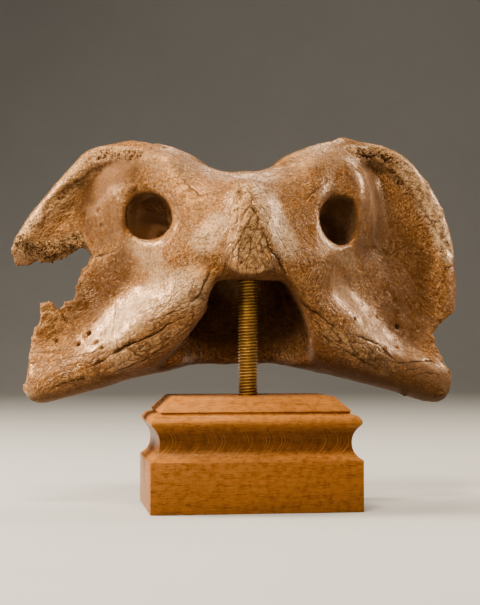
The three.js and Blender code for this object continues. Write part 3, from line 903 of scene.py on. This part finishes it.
def threaded_rod():
    """One flank line from end to end, turned once round while it climbs one pitch, so that the turns join."""
    rod = bmesh.new()
    turns = int((rod_top - rod_bottom) / THREAD_PITCH) - 1
    crest, root = rod_radius - CREST_WEAR, rod_radius - THREAD_DEPTH
    profile = [(crest, 0.0), (crest, CREST_END), (root, ROOT_START), (root, ROOT_END)]
    line = []
    for turn in range(turns):
        line += [rod.verts.new((r, 0, rod_bottom + (turn + part) * THREAD_PITCH)) for r, part in profile]
    line.append(rod.verts.new((crest, 0, rod_bottom + turns * THREAD_PITCH)))
    edges = [rod.edges.new(pair) for pair in zip(line, line[1:])]
    climb = (0, 0, THREAD_PITCH / THREAD_SIDES)
    bmesh.ops.spin(
        rod, geom=line + edges, axis=(0, 0, 1), angle=2 * math.pi, steps=THREAD_SIDES, dvec=climb)
    bmesh.ops.remove_doubles(rod, verts=rod.verts, dist=WELD)
    bmesh.ops.holes_fill(rod, edges=[e for e in rod.edges if e.is_boundary], sides=0)
    bmesh.ops.recalc_face_normals(rod, faces=rod.faces)
    if rod.calc_volume(signed=True) < 0:
        bmesh.ops.reverse_faces(rod, faces=rod.faces)
    return rod


def piece(name, bm, material):
    """Makes an object of a bmesh."""
    mesh = bpy.data.meshes.new(name)
    bm.to_mesh(mesh)
    mesh.materials.append(material)
    made = bpy.data.objects.new(name, mesh)
    bpy.context.collection.objects.link(made)
    return made


BRASS = (0.85, 0.58, 0.17)
DULL_BRASS = (0.60, 0.36, 0.08)
TARNISH = (0.28, 0.14, 0.03)
GROOVE_DIRT = (0.12, 0.05, 0.010)


def brass_material():
    material, tree, surface, where = new_material("tarnished_brass")
    x, y, _ = split(tree, where)
    out = add(tree, "VectorMath", {0: joined(tree, x, y, 0.0)}, operation="LENGTH").outputs["Value"]
    groove = spread(tree, out, rod_radius - 0.15 * MM, rod_radius - THREAD_DEPTH)
    patches = grouped(tree, MOTTLE, where, Scale=90.0)
    fine = grouped(tree, MOTTLE, where, Scale=1500.0)
    round_rod = add(tree, "Mapping", {"Vector": where, "Scale": (0.1, 0.1, 1)}).outputs[0]
    bands = grouped(tree, MOTTLE, round_rod, Scale=260.0)
    colour = layered(
        tree, (*BRASS, 1.0),
        (patches, 0.5, DULL_BRASS),
        (bands, 0.55, TARNISH),
        (groove, 0.75, GROOVE_DIRT))
    tree.links.new(colour, surface["Base Color"])
    surface["Metallic"].default_value = 1.0
    tree.links.new(spread(tree, patches, 0.0, 1.0, 0.32, 0.48), surface["Roughness"])
    bumped(tree, surface, summed(tree, (fine, 0.02)))
    return material


rod = piece("threaded_rod", threaded_rod(), brass_material())
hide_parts("rod")
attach(rod, "root")


# The base: one block of close-grained hardwood, moulded on all four sides with a plinth, a cove, a bead with
# a quirk over it and a bevel, drilled from above for the rod, and finished with a satin varnish.
base_low, base_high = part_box("base")
BASE_WIDTH = base_high.x - base_low.x
BASE_DEPTH = base_high.y - base_low.y
BASE_HEIGHT = base_high.z
ARRIS, ARRIS_ANGLE = 0.5 * MM, math.radians(28)
HOLE_GAP = 0.3 * MM
HOLE_SIDES = 32


def bezier(start, first, second, end, steps):
    """The points of a curve without its start."""
    corners = (start, first, second, end)
    points = []
    for i in range(1, steps + 1):
        t = i / steps
        weights = ((1 - t) ** 3, 3 * t * (1 - t) ** 2, 3 * t * t * (1 - t), t ** 3)
        points.append(tuple(sum(w * corner[k] for w, corner in zip(weights, corners)) for k in (0, 1)))
    return points


def moulding():
    """The profile as pairs of inset and height in millimetres, from the plinth's foot to the flat top."""
    top = BASE_HEIGHT / MM
    points = [(0.0, 0.0), (0.0, 24.8)]
    points += bezier((0.0, 24.8), (2.6, 26.4), (4.9, 28.6), (4.9, 33.2), 10)
    points += bezier((4.9, 33.2), (4.9, 38.0), (2.4, 40.2), (0.7, 42.0), 10)
    points += bezier((0.7, 42.0), (-0.1, 43.6), (1.2, 46.2), (4.6, 46.8), 12)
    points += [(5.6, 47.0), (5.6, 47.8), (4.7, 48.2), (11.2, 54.4)]
    points += bezier((11.2, 54.4), (11.9, 55.1), (12.5, top), (13.6, top), 5)
    return points


def extruded(bm, edges):
    """Draws a wall out of edges and gives its new points and edges."""
    grown = bmesh.ops.extrude_edge_only(bm, edges=edges)["geom"]
    new_verts = [g for g in grown if isinstance(g, bmesh.types.BMVert)]
    new_edges = [g for g in grown if isinstance(g, bmesh.types.BMEdge)]
    return new_verts, new_edges


def moulded_block():
    """The walls grow out of the underside's edges, point by point of the profile."""
    block = bmesh.new()
    bmesh.ops.create_grid(block, x_segments=1, y_segments=1, size=0.5)
    bmesh.ops.scale(block, vec=(BASE_WIDTH, BASE_DEPTH, 1), verts=block.verts)
    loop = list(block.edges)
    width, reach, height = BASE_WIDTH, BASE_DEPTH, 0.0
    for inset, level in moulding()[1:]:
        verts, loop = extruded(block, loop)
        new_width, new_reach = BASE_WIDTH - 2 * inset * MM, BASE_DEPTH - 2 * inset * MM
        bmesh.ops.scale(block, vec=(new_width / width, new_reach / reach, 1), verts=verts)
        bmesh.ops.translate(block, vec=(0, 0, level * MM - height), verts=verts)
        width, reach, height = new_width, new_reach, level * MM
    on_top = Matrix.Translation((0, 0, height))
    hole_radius = rod_radius + HOLE_GAP
    rim = bmesh.ops.create_circle(block, segments=HOLE_SIDES, radius=hole_radius, matrix=on_top)["verts"]
    hole = [e for e in block.edges if all(v in rim for v in e.verts)]
    bmesh.ops.triangle_fill(block, edges=loop + hole, use_beauty=True)
    verts, floor_edges = extruded(block, hole)
    bmesh.ops.translate(block, vec=(0, 0, rod_bottom - HOLE_GAP - height), verts=verts)
    bmesh.ops.holes_fill(block, edges=floor_edges, sides=0)
    bmesh.ops.recalc_face_normals(block, faces=block.faces)
    arrises = [e for e in block.edges if e.is_manifold and e.calc_face_angle() > ARRIS_ANGLE]
    bmesh.ops.bevel(
        block, geom=arrises, offset=ARRIS, segments=2, profile=0.5, affect="EDGES", material=-1,
        clamp_overlap=True)
    # Beside the quirk two rounded edges meet, and their points are joined.
    bmesh.ops.remove_doubles(block, verts=block.verts, dist=WELD)
    return block


# The tree's pith lay below and in front of the block. The heights in the cove and below it are in metres.
RING_WIDTH = 4.2 * MM
PITH_IN_FRONT, PITH_BELOW = 0.09, 0.12
COVE_BOTTOM, COVE_BOTTOM_FULL = 0.0255, 0.0300
COVE_TOP, COVE_TOP_FULL = 0.0420, 0.0375
FLECK_MIDDLE, FLECK_ARCH, FLECK_LENGTHENING = 0.0345, 110.0, 0.02
PLINTH_TOP, PLINTH_FULL = 0.0262, 0.0250
HARDWOOD = (0.225, 0.072, 0.010)
RED_HARDWOOD = (0.155, 0.045, 0.007)
LATE_WOOD = (0.070, 0.019, 0.003)
DARK_GRAIN_AND_SHADE = (0.045, 0.011, 0.002)
PALE_GRAIN = (0.31, 0.118, 0.018)
PALE_FIBRE = (0.38, 0.155, 0.026)
COVE_SHADE = (0.024, 0.005, 0.001)
WOOD_PORE = (0.02, 0.005, 0.001)
PALE_FLECK = (0.36, 0.15, 0.036)


def wood_material():
    material, tree, surface, where = new_material("varnished_hardwood")
    x, y, z = split(tree, where)
    warp = add(tree, "TexNoise", {"Vector": where, "Scale": 12.0, "Detail": 2.0}).outputs[0]
    from_pith = joined(tree, 0.0, calc(tree, "ADD", y, PITH_IN_FRONT), calc(tree, "ADD", z, PITH_BELOW))
    radius = add(tree, "VectorMath", {0: from_pith}, operation="LENGTH").outputs["Value"]
    rings = calc(tree, "FRACT", calc(tree, "DIVIDE", summed(tree, (warp, 0.010), (radius, 1.0)), RING_WIDTH))
    late = calc(tree, "MULTIPLY", spread(tree, rings, 0.3, 0.95), spread(tree, rings, 1.0, 0.96))
    grain = grouped(tree, STREAKS, where, Length=0.014, Width=0.0007)
    hairs = grouped(tree, STREAKS, where, Length=0.004, Width=0.00025)
    patches = grouped(tree, MOTTLE, where, Scale=26.0)
    mottle = grouped(tree, MOTTLE, where, Scale=330.0)
    pores = grouped(tree, PORES, where, Spacing=0.0010, Stretch=2.6, Size=0.28, Share=0.5)

    # Pale arc-shaped flecks lie where the cove cuts across the rays.
    climb = calc(tree, "SUBTRACT", z, FLECK_MIDDLE)
    arch = calc(tree, "MULTIPLY", calc(tree, "MULTIPLY", climb, climb), FLECK_ARCH)
    at = joined(tree, calc(tree, "ADD", x, arch), 0.0, calc(tree, "MULTIPLY", z, FLECK_LENGTHENING))
    fleck = add(tree, "TexNoise", {"Vector": at, "Scale": 1350.0, "Detail": 1.0}).outputs[0]
    above, below = spread(tree, z, COVE_BOTTOM, COVE_BOTTOM_FULL), spread(tree, z, COVE_TOP, COVE_TOP_FULL)
    in_cove = calc(tree, "MULTIPLY", above, below)
    flecks = calc(tree, "MULTIPLY", spread(tree, fleck, 0.55, 0.66), in_cove)

    colour = layered(
        tree, (*HARDWOOD, 1.0),
        (patches, 0.5, RED_HARDWOOD),
        (late, 0.5, LATE_WOOD),
        (grain, 0.55, DARK_GRAIN_AND_SHADE),
        (mottle, 0.55, PALE_GRAIN),
        (hairs, 0.5, PALE_FIBRE),
        # Painted shade in the cove below the bead.
        (in_cove, 0.7, COVE_SHADE),
        # Painted shade darkens the upright faces of the plinth.
        (spread(tree, z, PLINTH_TOP, PLINTH_FULL), 0.25, DARK_GRAIN_AND_SHADE),
        (pores, 0.35, WOOD_PORE),
        (flecks, 0.35, PALE_FLECK))
    tree.links.new(colour, surface["Base Color"])
    tree.links.new(spread(tree, mottle, 0.0, 1.0, 0.26, 0.42), surface["Roughness"])
    surface["Specular IOR Level"].default_value = 0.15
    surface["Specular Tint"].default_value = (1.0, 0.55, 0.20, 1.0)
    bumped(tree, surface, summed(tree, (grain, -0.05), (pores, -0.08), (hairs, 0.02), (patches, 0.1)))
    return material


base = piece("moulded_base", moulded_block(), wood_material())
base.data.shade_smooth()
base.data.set_sharp_from_angle(angle=math.radians(35))
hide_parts("base")
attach(base, "root")


# The studio: a pale matt floor that curves up into a backdrop, and soft square lamps. The strongest stands at
# the left, a weaker one at the right, and there are one overhead and weak ones behind and at the front.
FLOOR_WIDTH, FLOOR_FRONT, FLOOR_BACK, WALL_HEIGHT = 8.0, -3.0, 2.6, 3.0
CURVE, CURVE_STEPS = 1.0, 16
FLOOR_GREY = (0.31, 0.32, 0.33)
FLOOR_PATCH = (0.29, 0.30, 0.31)


def studio_floor():
    sheet = bmesh.new()
    ends = [sheet.verts.new((x, FLOOR_FRONT, 0)) for x in (-FLOOR_WIDTH / 2, FLOOR_WIDTH / 2)]
    edges = [sheet.edges.new(ends)]
    bends = [math.pi / 2 * i / CURVE_STEPS for i in range(CURVE_STEPS + 1)]
    path = [(FLOOR_BACK - CURVE + CURVE * math.sin(bend), CURVE - CURVE * math.cos(bend)) for bend in bends]
    y, z = FLOOR_FRONT, 0
    for next_y, next_z in path + [(FLOOR_BACK, WALL_HEIGHT)]:
        verts, edges = extruded(sheet, edges)
        bmesh.ops.translate(sheet, vec=(0, next_y - y, next_z - z), verts=verts)
        y, z = next_y, next_z
    bmesh.ops.recalc_face_normals(sheet, faces=sheet.faces)
    return sheet


def floor_material():
    material, tree, surface, where = new_material("pale_floor")
    shade = grouped(tree, MOTTLE, where, Scale=6.0)
    colour = layered(tree, (*FLOOR_GREY, 1.0), (shade, 0.5, FLOOR_PATCH))
    tree.links.new(colour, surface["Base Color"])
    surface["Roughness"].default_value = 0.8
    return material


floor = piece("studio_floor", studio_floor(), floor_material())
floor.data.shade_smooth()

world = bpy.data.worlds.new("studio")
bpy.context.scene.world = world
world.use_nodes = True
room = world.node_tree.nodes["Background"].inputs
room["Color"].default_value = (1.0, 0.97, 0.93, 1.0)
room["Strength"].default_value = 0.05

# Each lamp: bearing from the front and height in degrees, distance and width in metres, power in watts.
LAMP_AIM = Vector((0, 0, 0.11))
LAMPS = {
    "left": (-104, 31, 1.0, 0.30, 48.0),
    "right": (105, 27, 1.0, 0.25, 14.0),
    "behind": (160, 58, 1.0, 0.35, 6.0),
    "front": (-32, 36, 1.0, 0.30, 8.0),
    "top": (-25, 66, 1.0, 0.35, 21.0),
}
WARM = (1.0, 0.83, 0.62)
for name, (bearing, height, distance, width, power) in LAMPS.items():
    lamp_data = bpy.data.lights.new(name, "AREA")
    lamp_data.size = width
    lamp_data.energy = power
    lamp_data.color = WARM
    lamp = bpy.data.objects.new(name, lamp_data)
    turn, lift = math.radians(bearing), math.radians(height)
    away = Vector((math.sin(turn) * math.cos(lift), -math.cos(turn) * math.cos(lift), math.sin(lift)))
    lamp.location = LAMP_AIM + away * distance
    lamp.rotation_euler = (-away).to_track_quat("-Z", "Y").to_euler()
    bpy.context.collection.objects.link(lamp)
